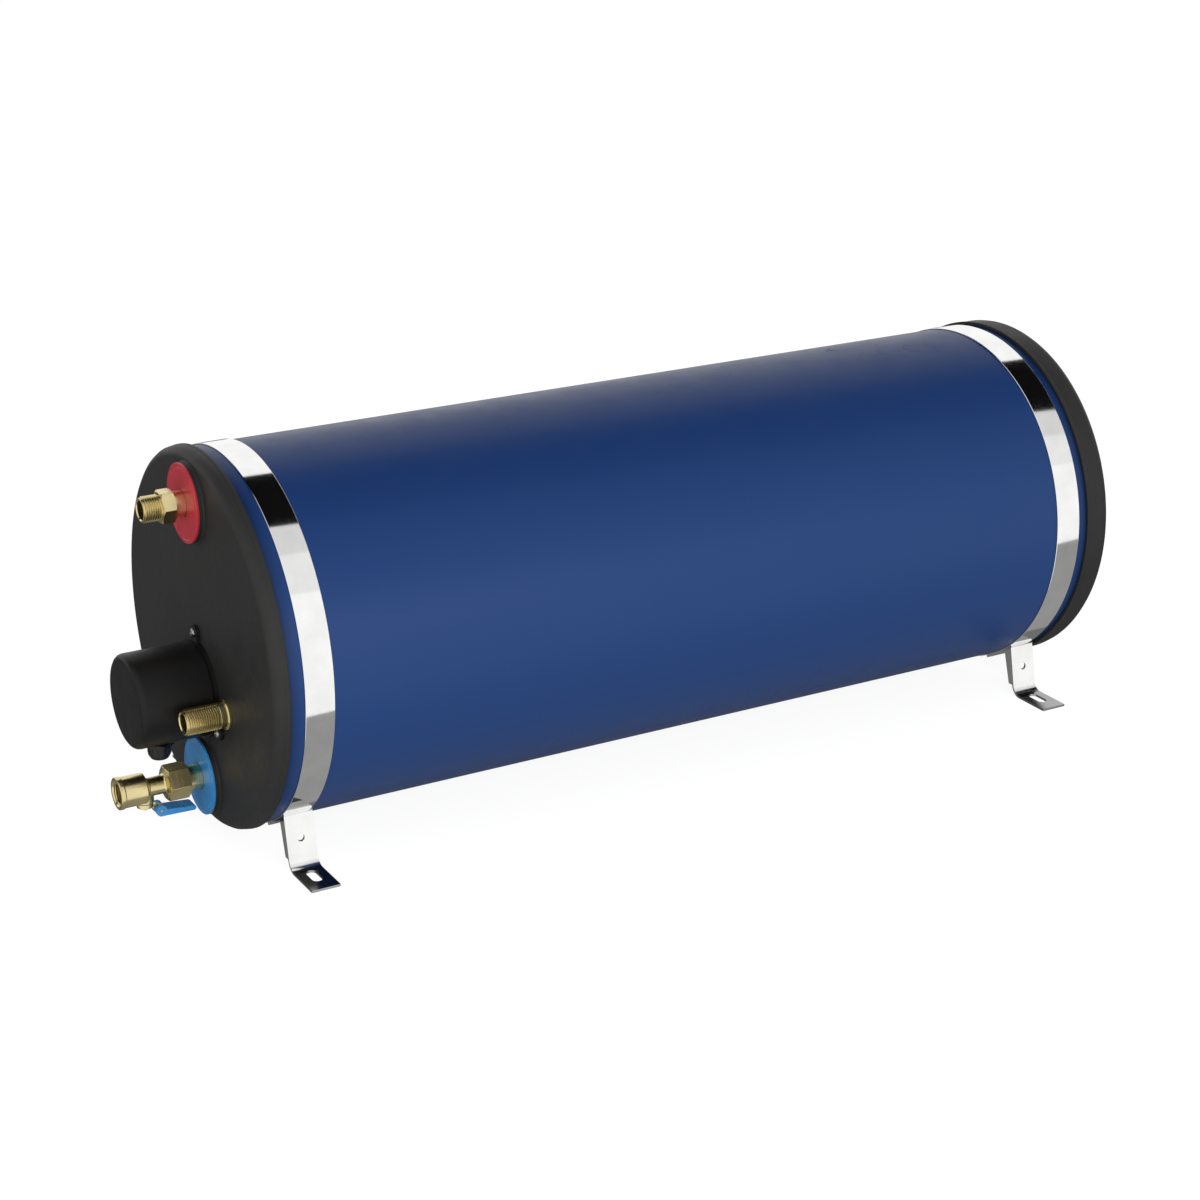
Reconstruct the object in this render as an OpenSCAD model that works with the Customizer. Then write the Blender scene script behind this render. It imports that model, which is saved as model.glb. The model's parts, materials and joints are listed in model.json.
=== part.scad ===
// Horizontal marine water heater: an insulated tank in a blue steel jacket with black end caps,
// held by two bands on four slotted feet. All its fittings come out of the front cap.
// X runs along the tank with the front at -X, Z is up, and the feet stand on Z = 0.

/* [Tank] */
// Outer diameter of the blue jacket
jacket_d = 300; // [280:1:340]
// Length of jacket that shows between the two caps
jacket_len = 750; // [500:5:1000]
// Thickness of the jacket's sheet
jacket_wall = 1.5; // [1:0.5:3]
// Height of the tank's axis above the floor
axis_h = 162; // [160:1:176]

/* [End caps] */
// Depth of the front cap, from its rim to its face
front_cap_depth = 13; // [12:1:30]
// Depth of the rear cap, from its rim to its face
rear_cap_depth = 25; // [12:1:40]
// Thickness of a cap's skirt round the jacket
cap_skirt = 2.2; // [2:0.1:3]
// Thickness of a cap's flat end
cap_plate = 5; // [4:0.5:8]
// Radius of the rounded outer edge of a cap
cap_edge_r = 8; // [6:0.5:9]

/* [Bands] */
// Width of a band
band_w = 24; // [20:1:30]
// Thickness of a band
band_t = 1.2; // [0.8:0.1:2]
// Blue jacket that shows between the front cap and the front band
front_band_inset = 12; // [6:1:60]
// Blue jacket that shows between the rear cap and the rear band
rear_band_inset = 8; // [6:1:60]

/* [Feet] */
// Thickness of the feet's sheet
foot_t = 2; // [1.5:0.5:3]
// Angle round the tank, from straight down, where a foot's leg leaves the band
leg_angle = 40; // [36:1:44]
// Distance from the tank's middle plane to the fold at the bottom of a leg
fold_y = 106; // [104:1:110]
// Distance from the tank's middle plane to the tip of a foot
foot_reach = 147; // [144:1:155]
// Radius of the bend between a leg and its foot plate
bend_r = 9; // [6:0.5:10]
// Depth of a leg's side flanges, where they meet the band
flange_depth = 15; // [10:1:16]
// Width of the slot in a foot
slot_w = 8.5; // [6:0.5:10]
// Length of the slot in a foot
slot_len = 20; // [14:1:20]
// Distance from the tank's middle plane to the centre of a foot's slot
slot_y = 124; // [124:1:128]
// Diameter of the hole in a leg
leg_hole_d = 6; // [4:0.5:8]
// Diameter of a rivet's shank
rivet_d = 4; // [3:0.5:5]

/* [Fittings] */
// Outer diameter of a half-inch pipe thread
thread_d = 20.96; // [18:0.01:24]
// Inner diameter of a nipple
nipple_bore = 15; // [10:0.5:16]
// Height of the hot outlet above the tank's axis
hot_rise = 113; // [100:1:115]
// Depth of the cold inlet below the tank's axis
cold_drop = 115; // [113:1:116]
// Diameter of the coloured discs
disc_d = 63; // [50:1:64]
// Thickness of the coloured discs
disc_t = 2; // [1:0.5:3]
// Height of the cap's round seats under the discs
seat_t = 4; // [2:0.5:6]
// Distance that the hot outlet stands out of the cap
hot_len = 40; // [34:1:60]
// Size of the hot outlet's hexagon across its flats
hot_hex = 24; // [22:1:27]
// Sideways distance from the middle plane to a coil nipple
coil_y = 54; // [53:1:60]
// Depth of the coil nipples below the tank's axis
coil_drop = 43; // [41:1:48]
// Distance that a coil nipple stands out of the cap
coil_len = 36; // [25:1:60]

/* [Element cover] */
// Diameter of the round cover
cover_d = 76; // [70:1:80]
// Distance that the cover's face stands out of the cap
cover_len = 62; // [50:1:66]
// Wall of the cover
cover_wall = 2.5; // [2:0.5:4]
// Radius of the cover's rounded edge
cover_edge_r = 5; // [4:0.5:10]
// Depth of the cover's centre below the tank's axis
cover_drop = 40; // [36:1:42]
// Diameter of the round plate under the cover
base_d = 80; // [80:0.5:83]
// Thickness of the plate under the cover
base_t = 3; // [3:1:8]
// Diameter of the circle through the plate's three screws
screw_circle_d = 93.2; // [91:0.2:94]
// Diameter of a screw's shank
screw_d = 4; // [3:0.5:5]
// Distance from the cap to the cable gland's axis
gland_x = 37; // [30:1:42]
// Diameter of the cable gland's hole
gland_bore = 8; // [6:0.5:10]

/* [Safety valve] */
// Size of the valve's hexagon across its flats
valve_hex = 26; // [24:0.5:27]
// Distance from the cap to the near side of the valve's hexagon
valve_start = 16.5; // [16:0.5:22]
// Length of the valve's hexagon
valve_hex_len = 18; // [18:1:22]
// Length of the valve's slim neck
valve_neck_len = 17.5; // [17:0.5:20]
// Length of the valve's round inlet end
valve_end_len = 22.5; // [20:0.5:34]
// Diameter of the valve's round inlet end
valve_end_d = 25; // [24:0.5:30]
// Bore of the valve's threaded inlet
inlet_d = 18.6; // [16:0.1:20]
// Depth of the valve's threaded inlet
inlet_depth = 15; // [10:1:18]
// Depth of the lever's pin below the valve's axis
pin_drop = 20; // [19:0.5:21]
// Distance from the valve's spindle to the lever's pin, toward the cap
pin_back = 11.5; // [11:0.5:13]
// Diameter of the lever's pin
pin_d = 3; // [2.5:0.5:4]
// Length of the lever, from its pin to its tip
lever_len = 28.5; // [24:0.5:29]
// Width of the lever
lever_w = 14; // [12:1:16]

/* [Hidden] */
$fn = 96;

fit_gap = 0.2;
run_gap = 0.05;
seat_gap = 0.3;
past = 1;

// Tank
jacket_r = jacket_d / 2;
cap_r = jacket_r + seat_gap + cap_skirt;
band_r = jacket_r + band_t;
saddle_r = band_r + foot_t;
valve_reach = valve_start + valve_hex_len + valve_neck_len + valve_end_len;
front_reach = jacket_len / 2 + front_cap_depth + valve_reach;
rear_reach = jacket_len / 2 + rear_cap_depth;
tank_x = (front_reach - rear_reach) / 2;
front_rim_x = tank_x - jacket_len / 2;
rear_rim_x = tank_x + jacket_len / 2;
front_face_x = front_rim_x - front_cap_depth;
rear_face_x = rear_rim_x + rear_cap_depth;
front_band_x = front_rim_x + front_band_inset + band_w / 2;
rear_band_x = rear_rim_x - rear_band_inset - band_w / 2;

// Feet
leg_top_y = band_r * sin(leg_angle);
leg_top_z = axis_h - band_r * cos(leg_angle);
leg_lean = atan2(fold_y - leg_top_y, leg_top_z);
saddle_angle = 15;
rivet_angle = leg_angle - 8;
rivet_head_r = 4;
rivet_head_t = 1.6;
leg_hole_z = 25;
leg_hole_y = fold_y - leg_hole_z * tan(leg_lean);
bend_z = foot_t + bend_r;
bend_y = fold_y + (bend_r - sin(leg_lean) * bend_z) / cos(leg_lean);
bend_steps = 12;
flange_bottom = 7;

// Fittings, each as its height above the floor
hot_z = axis_h + hot_rise;
cold_z = axis_h - cold_drop;
coil_z = axis_h - coil_drop;
cover_z = axis_h - cover_drop;
hot_hex_start = 14;
hot_hex_len = 11;

collar_d = 24;
collar_t = 3;

// Element cover
lug_r = 6;
// A lug's neck is narrower than its round end, so that the two meet at a clear angle
lug_neck_w = 11;
screw_head_r = 3.5;
screw_head_t = 2.2;
gland_thread_d = 16;
gland_hex = 21;
gland_flange_t = 3;
gland_nut_d = 19;
gland_nut_t = 11;

// Safety valve
thread_overlap = 11;
neck_d = 15;
boss_u = valve_start + valve_hex_len + valve_neck_len;
boss_d = 15;
boss_drop = 12.5;
bonnet_d = 13;
bonnet_bottom = 16;
spindle_d = 6;
spindle_bottom = 18;
eye_r = 4;
eye_t = 5;
lever_hub_r = 4.5;
cheek_gap = 0.3;
boss_x = front_face_x - boss_u;
pin_x = boss_x + pin_back;
pin_z = cold_z - pin_drop;

// Local Z points out of the front cap, local X points up
module on_face(y, z) {
    translate([front_face_x, y, z]) rotate([0, -90, 0]) children();
}

// A flat outline in Y and Z becomes a slab of thickness w that starts at x
module slab(x, w) {
    translate([x, 0, 0]) rotate([90, 0, 90]) linear_extrude(w) children();
}

// A round disc of height h with one rounded edge, its flat side on local Z = 0
module rounded_disc(r, h, edge) {
    rotate_extrude($fn = 128) {
        square([r - edge, h]);
        square([r, h - edge]);
        translate([r - edge, h - edge])
            intersection() {
                circle(edge);
                square(edge);
            }
    }
}

// A hexagon with two flats level, w across them
module hexagon(w) {
    rotate(30) circle(d = w / cos(30), $fn = 6);
}

// Children are drawn for the right-hand side, -Y, and mirrored for the left
module on_side(side) {
    if (side == "left") mirror([0, 1, 0]) children();
    else children();
}

// Local Z points out of the tank at an angle from straight down, on the right-hand side
module round_tank(x, angle) {
    translate([x, 0, axis_h]) rotate([180 - angle, 0, 0]) children();
}

// ---- Tank and caps ----

module jacket() {
    front_end = front_face_x + cap_plate;
    rear_end = rear_face_x - cap_plate;
    color([0.10, 0.22, 0.48])
        translate([front_end, 0, axis_h])
            rotate([0, 90, 0])
                difference() {
                    cylinder(r = jacket_r, h = rear_end - front_end, $fn = 180);
                    translate([0, 0, -past])
                        cylinder(r = jacket_r - jacket_wall, h = rear_end - front_end + 2 * past, $fn = 180);
                }
}

// A cap with its rim on local Z = 0 and its face up
module cap(depth) {
    difference() {
        rounded_disc(cap_r, depth, cap_edge_r);
        translate([0, 0, -past])
            cylinder(r = jacket_r + seat_gap, h = depth - cap_plate + past, $fn = 180);
    }
}

module front_cap() {
    color([0.17, 0.17, 0.165])
        difference() {
            union() {
                translate([front_rim_x, 0, axis_h]) rotate([0, -90, 0]) cap(front_cap_depth);
                for (z = [hot_z, cold_z])
                    on_face(0, z) translate([0, 0, -past]) cylinder(d = disc_d, h = seat_t + past);
            }
            for (hole = [[0, hot_z], [0, cold_z], [-coil_y, coil_z], [coil_y, coil_z]])
                on_face(hole[0], hole[1])
                    translate([0, 0, -cap_plate - past])
                        cylinder(d = thread_d + 2 * fit_gap, h = cap_plate + seat_t + 2 * past);
            on_face(0, cover_z)
                at_screws()
                    translate([0, 0, -cap_plate - past])
                        cylinder(d = screw_d + fit_gap, h = cap_plate + 2 * past);
        }
}

module rear_cap() {
    color([0.17, 0.17, 0.165])
        translate([rear_rim_x, 0, axis_h]) rotate([0, 90, 0]) cap(rear_cap_depth);
}

// ---- Bands, feet and rivets ----

module band(x) {
    color([0.85, 0.85, 0.86])
        difference() {
            translate([x - band_w / 2, 0, axis_h])
                rotate([0, 90, 0])
                    difference() {
                        cylinder(r = band_r, h = band_w, $fn = 180);
                        translate([0, 0, -past]) cylinder(r = jacket_r, h = band_w + 2 * past, $fn = 180);
                    }
            for (side = ["right", "left"]) on_side(side) rivet_hole(x);
        }
}

module rivet_hole(x) {
    round_tank(x, rivet_angle)
        translate([0, 0, jacket_r - past]) cylinder(d = rivet_d + fit_gap, h = saddle_r - jacket_r + 2 * past);
}

module front_band() { band(front_band_x); }
module rear_band() { band(rear_band_x); }

// A point on the bend at distance r from its centre, from the foot plate, 0, to the leg, bend_steps
function bend_point(r, i) =
    let (a = -90 + (90 - leg_lean) * i / bend_steps) [r * cos(a) - bend_y, r * sin(a) + bend_z];

// The side view of a leg's flange, from the saddle down to where the bend starts
module flange_outline() {
    bottom = bend_point(bend_r, bend_steps);
    difference() {
        polygon([
            [-leg_top_y, leg_top_z],
            bottom,
            bottom + [flange_bottom, 0],
            [-leg_top_y + flange_depth, leg_top_z + flange_depth]
        ]);
        translate([0, axis_h]) circle(r = band_r, $fn = 180);
    }
}

// The side view of a leg's outer web, the bend at its bottom and its foot plate, as one bent strip
module leg_outline() {
    inner_top = bend_point(bend_r + foot_t, bend_steps)
        + (leg_top_z + foot_t) / cos(leg_lean) * [sin(leg_lean), cos(leg_lean)];
    difference() {
        polygon(concat(
            [[-foot_reach, 0]],
            [for (i = [0:bend_steps]) bend_point(bend_r + foot_t, i)],
            [inner_top, [-leg_top_y, leg_top_z]],
            [for (i = [bend_steps:-1:0]) bend_point(bend_r, i)],
            [[-foot_reach, foot_t]]
        ));
        translate([0, axis_h]) circle(r = band_r, $fn = 180);
    }
}

// The curved tab under the band that carries the rivet
module saddle_outline() {
    intersection() {
        translate([0, axis_h])
            difference() {
                circle(r = saddle_r, $fn = 180);
                circle(r = band_r, $fn = 180);
            }
        polygon([
            [0, axis_h],
            [-2 * axis_h * tan(leg_angle), -axis_h],
            [-2 * axis_h * tan(leg_angle - saddle_angle), -axis_h]
        ]);
    }
}

module foot(x, side) {
    color([0.86, 0.86, 0.87])
        on_side(side)
            difference() {
                union() {
                    slab(x - band_w / 2, band_w) leg_outline();
                    slab(x - band_w / 2, band_w) saddle_outline();
                    slab(x - band_w / 2, foot_t) flange_outline();
                    slab(x + band_w / 2 - foot_t, foot_t) flange_outline();
                }
                slot(x);
                translate([x, -leg_hole_y, leg_hole_z])
                    rotate([90 + leg_lean, 0, 0])
                        translate([0, 0, -2 * foot_t]) cylinder(d = leg_hole_d, h = 4 * foot_t);
                rivet_hole(x);
            }
}

module slot(x) {
    half = (slot_len - slot_w) / 2;
    for (y = [-half, half])
        translate([x, y - slot_y, -past]) cylinder(d = slot_w, h = foot_t + 2 * past);
    translate([x - slot_w / 2, -slot_y - half, -past]) cube([slot_w, 2 * half, foot_t + 2 * past]);
}

module front_right_foot() { foot(front_band_x, "right"); }
module front_left_foot() { foot(front_band_x, "left"); }
module rear_right_foot() { foot(rear_band_x, "right"); }
module rear_left_foot() { foot(rear_band_x, "left"); }

// Holds a foot's saddle to the band
module rivet(x, side) {
    color([0.7, 0.7, 0.72])
        on_side(side)
            round_tank(x, rivet_angle) {
                translate([0, 0, jacket_r + run_gap]) cylinder(d = rivet_d, h = saddle_r - jacket_r);
                translate([0, 0, saddle_r]) rounded_disc(rivet_head_r, rivet_head_t, rivet_head_t - run_gap);
            }
}

module front_right_rivet() { rivet(front_band_x, "right"); }
module front_left_rivet() { rivet(front_band_x, "left"); }
module rear_right_rivet() { rivet(rear_band_x, "right"); }
module rear_left_rivet() { rivet(rear_band_x, "left"); }

// ---- Hot outlet, cold inlet and coil ----

// A pipe nipple from the cap's inner side to a distance len in front of the cap
module nipple(len) {
    difference() {
        union() {
            translate([0, 0, -cap_plate]) cylinder(d = thread_d, h = len + cap_plate);
            children();
        }
        translate([0, 0, -cap_plate - past]) cylinder(d = nipple_bore, h = len + cap_plate + 2 * past);
    }
}

module disc() {
    translate([0, 0, seat_t])
        difference() {
            cylinder(d = disc_d, h = disc_t);
            translate([0, 0, -past]) cylinder(d = thread_d + 2 * fit_gap, h = disc_t + 2 * past);
        }
}

module hot_outlet_disc() {
    color([0.74, 0.18, 0.24]) on_face(0, hot_z) disc();
}

module hot_outlet_nipple() {
    color([0.78, 0.66, 0.36])
        on_face(0, hot_z)
            nipple(hot_len)
                translate([0, 0, hot_hex_start]) linear_extrude(hot_hex_len) hexagon(hot_hex);
}

module cold_inlet_disc() {
    color([0.20, 0.48, 0.72]) on_face(0, cold_z) disc();
}

module cold_inlet_nipple() {
    color([0.78, 0.66, 0.36]) on_face(0, cold_z) nipple(valve_start + thread_overlap);
}

module coil_nipple(y) {
    color([0.78, 0.66, 0.36])
        on_face(y, coil_z)
            nipple(coil_len)
                cylinder(d = collar_d, h = collar_t);
}

module right_coil_nipple() { coil_nipple(-coil_y); }
module left_coil_nipple() { coil_nipple(coil_y); }

// ---- Element cover and cable gland ----

// The three screws stand on a circle round the cover, the first one at the top
module at_screws() {
    for (i = [0:2])
        rotate(120 * i) translate([screw_circle_d / 2, 0, 0]) children();
}

module cover_base() {
    color([0.12, 0.12, 0.12])
        on_face(0, cover_z)
            difference() {
                union() {
                    cylinder(d = base_d, h = base_t);
                    at_screws() {
                        cylinder(r = lug_r, h = base_t);
                        translate([-2 * lug_r, -lug_neck_w / 2, 0]) cube([2 * lug_r, lug_neck_w, base_t]);
                    }
                }
                at_screws() translate([0, 0, -past]) cylinder(d = screw_d + fit_gap, h = base_t + 2 * past);
            }
}

module element_cover() {
    shell_h = cover_len - base_t;
    color([0.15, 0.15, 0.15])
        on_face(0, cover_z)
            translate([0, 0, base_t])
                difference() {
                    rounded_disc(cover_d / 2, shell_h, cover_edge_r);
                    translate([0, 0, -past])
                        rounded_disc(cover_d / 2 - cover_wall, shell_h - cover_wall + past,
                                     cover_edge_r - cover_wall);
                    translate([0, 0, gland_x - base_t])
                        rotate([0, -90, 0]) cylinder(d = gland_thread_d + fit_gap, h = cover_d);
                }
}

// Local Z points down, out of the bottom of the cover
module at_gland() {
    translate([front_face_x - gland_x, 0, cover_z - cover_d / 2]) rotate([180, 0, 0]) children();
}

module gland_body() {
    thread_up = 2 * cover_wall;
    color([0.10, 0.10, 0.12])
        at_gland()
            difference() {
                union() {
                    translate([0, 0, -thread_up])
                        cylinder(d = gland_thread_d, h = thread_up + gland_flange_t);
                    linear_extrude(gland_flange_t) hexagon(gland_hex);
                }
                translate([0, 0, -thread_up - past])
                    cylinder(d = gland_bore, h = thread_up + gland_flange_t + 2 * past);
            }
}

module gland_nut() {
    color([0.10, 0.10, 0.12])
        at_gland()
            translate([0, 0, gland_flange_t])
                difference() {
                    rounded_disc(gland_nut_d / 2, gland_nut_t, gland_nut_t / 2);
                    translate([0, 0, -past]) cylinder(d = gland_bore, h = gland_nut_t + 2 * past);
                }
}

module cover_screw(i) {
    color([0.75, 0.75, 0.77])
        on_face(0, cover_z)
            rotate(120 * i)
                translate([screw_circle_d / 2, 0, 0]) {
                    translate([0, 0, -cap_plate]) cylinder(d = screw_d, h = cap_plate + base_t);
                    translate([0, 0, base_t]) rounded_disc(screw_head_r, screw_head_t, screw_head_t / 2);
                }
}

module cover_screw_1() { cover_screw(0); }
module cover_screw_2() { cover_screw(1); }
module cover_screw_3() { cover_screw(2); }

// ---- Safety valve on the cold inlet ----

module valve_body() {
    color([0.76, 0.66, 0.38])
        on_face(0, cold_z)
            difference() {
                union() {
                    translate([0, 0, valve_start]) linear_extrude(valve_hex_len) hexagon(valve_hex);
                    translate([0, 0, valve_start + valve_hex_len])
                        cylinder(d = neck_d, h = valve_neck_len);
                    translate([0, 0, boss_u]) cylinder(d = valve_end_d, h = valve_end_len);
                    translate([0, 0, boss_u]) rotate([0, -90, 0]) cylinder(d = boss_d, h = boss_drop);
                }
                translate([0, 0, valve_start - past])
                    cylinder(d = thread_d + 2 * run_gap, h = thread_overlap + past);
                translate([0, 0, valve_reach - inlet_depth]) cylinder(d = inlet_d, h = inlet_depth + past);
            }
}

// Local Z points down from the valve's axis, at its spindle
module at_boss() {
    translate([boss_x, 0, cold_z]) rotate([180, 0, 0]) children();
}

// Local X and Y are the row's X and Z, and local Z runs from the pin toward -Y, width w centred
module at_pin(w) {
    translate([pin_x, w / 2, pin_z]) rotate([90, 0, 0]) children();
}

// The bonnet closes the boss and carries the lever's pin in an eye on one side
module valve_bonnet() {
    bonnet_top_z = pin_drop - boss_drop;
    bonnet_bottom_z = pin_drop - bonnet_bottom;
    color([0.80, 0.68, 0.42])
        difference() {
            union() {
                at_boss() translate([0, 0, boss_drop]) cylinder(d = bonnet_d, h = bonnet_bottom - boss_drop);
                at_pin(eye_t) {
                    cylinder(r = eye_r, h = eye_t);
                    linear_extrude(eye_t)
                        polygon([
                            [5 - pin_back, bonnet_top_z],
                            [-eye_r, bonnet_top_z],
                            [0, eye_r - 1],
                            [0, 0],
                            [-3, -1.2],
                            [5 - pin_back, bonnet_bottom_z - past]
                        ]);
                }
            }
            at_boss()
                translate([0, 0, boss_drop - past])
                    cylinder(d = spindle_d + fit_gap, h = bonnet_bottom - boss_drop + 2 * past);
            at_pin(lever_w) translate([0, 0, -past]) cylinder(d = pin_d + 2 * run_gap, h = lever_w + 2 * past);
        }
}

module valve_spindle() {
    color([0.80, 0.68, 0.42])
        at_boss() translate([0, 0, boss_drop]) cylinder(d = spindle_d, h = spindle_bottom - boss_drop);
}

module lever_pin() {
    color([0.8, 0.8, 0.82]) at_pin(lever_w) cylinder(d = pin_d, h = lever_w);
}

// Side view of the lever's arm, with its pin at the origin and its tip toward +X
module lever_arm_outline() {
    polygon([
        [0, 1],
        [6, 0.6],
        [lever_len - 1.5, -1.2],
        [lever_len, -2.2],
        [lever_len, -4],
        [lever_len - 1.5, -5],
        [0, -4.4]
    ]);
}

module relief_lever() {
    color([0.16, 0.48, 0.74])
        at_pin(lever_w)
            difference() {
                union() {
                    cylinder(r = lever_hub_r, h = lever_w);
                    linear_extrude(lever_w) lever_arm_outline();
                }
                translate([0, 0, -past]) cylinder(d = pin_d + 2 * run_gap, h = lever_w + 2 * past);
                translate([-2 * lever_hub_r, -2 * lever_hub_r, (lever_w - eye_t) / 2 - cheek_gap])
                    cube([2 * lever_hub_r + eye_r + cheek_gap, 4 * lever_hub_r, eye_t + 2 * cheek_gap]);
            }
}

jacket();
front_cap();
rear_cap();
front_band();
rear_band();
front_right_foot();
front_left_foot();
rear_right_foot();
rear_left_foot();
front_right_rivet();
front_left_rivet();
rear_right_rivet();
rear_left_rivet();
hot_outlet_disc();
hot_outlet_nipple();
cold_inlet_disc();
cold_inlet_nipple();
right_coil_nipple();
left_coil_nipple();
cover_base();
element_cover();
gland_body();
gland_nut();
cover_screw_1();
cover_screw_2();
cover_screw_3();
valve_body();
valve_bonnet();
valve_spindle();
lever_pin();
relief_lever();
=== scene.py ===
# %% [markdown]
# # A horizontal marine water heater
#
# The real thing is an insulated tank in a jacket of blue painted sheet. Two black moulded caps
# close its ends, and two polished steel bands hold it on four slotted feet. The hot outlet,
# the cold inlet with its safety valve, the two ends of the heating coil and the cover of the
# electric element all come out of the front cap, at -X.
#
# The model arrives as exact solids. They could be shown as they are, but their edges are
# knife sharp, their threads are plain cylinders and they have one flat colour each. So each
# visible form is made again here with the small shapes that catch the light, in the place
# that the solids give, and then gets a finish.

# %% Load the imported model
import json
import math

import bmesh
import bpy
from mathutils import Matrix, Vector

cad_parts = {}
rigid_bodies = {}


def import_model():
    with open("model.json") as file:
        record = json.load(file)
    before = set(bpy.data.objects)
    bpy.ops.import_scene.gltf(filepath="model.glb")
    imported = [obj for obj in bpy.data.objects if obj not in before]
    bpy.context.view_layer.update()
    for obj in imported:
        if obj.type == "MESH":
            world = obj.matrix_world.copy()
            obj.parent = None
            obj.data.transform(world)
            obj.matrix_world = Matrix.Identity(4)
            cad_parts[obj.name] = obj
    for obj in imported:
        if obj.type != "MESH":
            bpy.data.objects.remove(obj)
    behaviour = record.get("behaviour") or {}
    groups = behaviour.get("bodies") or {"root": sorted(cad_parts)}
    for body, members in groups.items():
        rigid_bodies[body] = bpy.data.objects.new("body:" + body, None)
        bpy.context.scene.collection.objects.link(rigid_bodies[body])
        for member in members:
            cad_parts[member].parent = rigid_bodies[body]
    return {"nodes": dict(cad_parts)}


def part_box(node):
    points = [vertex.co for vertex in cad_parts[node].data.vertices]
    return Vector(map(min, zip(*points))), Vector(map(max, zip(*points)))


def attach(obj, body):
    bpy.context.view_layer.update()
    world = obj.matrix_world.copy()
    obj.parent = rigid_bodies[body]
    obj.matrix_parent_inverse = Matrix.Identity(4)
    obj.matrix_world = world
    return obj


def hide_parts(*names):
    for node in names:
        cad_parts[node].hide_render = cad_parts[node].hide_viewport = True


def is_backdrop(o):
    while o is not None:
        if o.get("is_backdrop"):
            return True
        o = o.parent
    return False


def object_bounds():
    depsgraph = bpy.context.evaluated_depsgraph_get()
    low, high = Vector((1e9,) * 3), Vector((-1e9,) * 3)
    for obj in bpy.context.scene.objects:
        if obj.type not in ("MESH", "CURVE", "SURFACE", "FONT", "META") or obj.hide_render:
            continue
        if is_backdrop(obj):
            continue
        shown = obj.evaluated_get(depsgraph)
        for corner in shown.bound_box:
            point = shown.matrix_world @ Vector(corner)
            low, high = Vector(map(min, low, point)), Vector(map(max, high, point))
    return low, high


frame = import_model()
nodes = frame["nodes"]
cad_low, cad_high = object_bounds()

# %% [markdown]
# ## Where things are
#
# Positions could be typed in as numbers, but then they would part from the solids when a size
# changes. A node's box gives every place that is needed: the tank's axis, the cap's face, the
# centre of each fitting, and where a fitting starts and ends in front of the cap. The scene is
# in metres. Shapes are drawn in millimetres, which MM turns into metres, and a name that ends
# in _mm is such a size, which on a round part is its radius.

# %% Read the main places from the solids
MM = 0.001


def box_middle(node):
    low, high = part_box(node)
    return (low + high) / 2


def box_size(node):
    low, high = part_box(node)
    return high - low


tank_axis = box_middle("jacket")
jacket_mm = box_size("jacket").z / 2 / MM
cap_mm = box_size("front_cap").z / 2 / MM
front_face_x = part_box("cover_base")[1].x
front_rim_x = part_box("front_cap")[1].x
rear_rim_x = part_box("rear_cap")[0].x
hot_z = box_middle("hot_outlet_disc").z
cold_z = box_middle("cold_inlet_disc").z
coil_z = box_middle("right_coil_nipple").z
cover_z = box_middle("element_cover").z
print("jacket radius mm:", round(jacket_mm, 2), "axis height mm:", round(tank_axis.z / MM, 2))


def from_cap(node):
    low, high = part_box(node)
    return (front_face_x - high.x) / MM, (front_face_x - low.x) / MM


print("the lid stands in front of the cap, mm:", [round(v, 1) for v in from_cap("element_cover")])

# %% [markdown]
# ## The camera
#
# A catalogue view looks along the tank from its front right, a little from above, so that the
# fittings, the length and the feet all show. A long lens keeps the far end nearly as large as
# the near one. The camera could be aimed with a constraint, but a plain place and three angles
# are easier to read and never change. The plain Standard view keeps each colour as it is
# written.

# %% Set up the camera
camera_data = bpy.data.cameras.new("catalogue_camera")
camera_data.lens = 76.56
camera_data.sensor_width = 36.0
camera_data.clip_start = 0.05
camera_data.clip_end = 60.0
camera = bpy.data.objects.new("catalogue_camera", camera_data)
band_middle_x = (box_middle("front_band").x + box_middle("rear_band").x) / 2
camera.location = (band_middle_x - 1.0379, -1.7642, 0.8885)
camera_turn = math.radians(-29.815)
camera.rotation_euler = (math.radians(69.469), math.radians(0.095), camera_turn)
scene_objects = bpy.context.scene.collection.objects
scene_objects.link(camera)
bpy.context.scene.camera = camera
bpy.context.scene.view_settings.view_transform = "Standard"
print("camera at", tuple(round(v, 3) for v in camera.location))

# %% [markdown]
# ## A node's small helper
#
# Materials, node groups and the world are all trees of nodes. Each node could be made and
# filled in on five lines, or with one call that takes its settings and the values of its
# sockets. The second way keeps a material readable, so this helper comes first. Sockets that
# share one name are told apart by a number, as in _0 and _1.

# %% Make one node at a time


def add_node(tree, kind, settings=None, **values):
    made = tree.nodes.new(kind)
    for name, value in (settings or {}).items():
        setattr(made, name, value)
    for name, value in values.items():
        key = int(name[1:]) if name[1:].isdigit() else name.replace("_", " ")
        socket = made.inputs[key]
        if isinstance(value, bpy.types.NodeSocket):
            tree.links.new(value, socket)
        else:
            socket.default_value = value
    return made


def math_node(tree, operation, first, second=0.0):
    step = {"operation": operation}
    return add_node(tree, "ShaderNodeMath", step, _0=first, _1=second).outputs[0]


def mix_shaders(tree, share, first, second):
    ends = {"_1": first.outputs[0], "_2": second.outputs[0]}
    return add_node(tree, "ShaderNodeMixShader", Fac=share, **ends)


print("node helpers:", add_node.__name__, math_node.__name__, mix_shaders.__name__)

# %% [markdown]
# ## The studio
#
# Polished bands show the whole room, so the room matters as much as the steel. A studio hangs
# a white tent with one black strip above the product, which draws a crisp dark bar on every
# band. That tent could be built from cards, but each card would then have to be placed for
# each band. A world that changes with the angle over the tank gives the same bar
# on both bands. Each step below is an angle round the tank's axis and the grey from there on.
# Only mirror-like rays see the strip: the camera sees plain white, and soft light comes
# evenly from everywhere, at a level where a colour looks as it is written.

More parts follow.
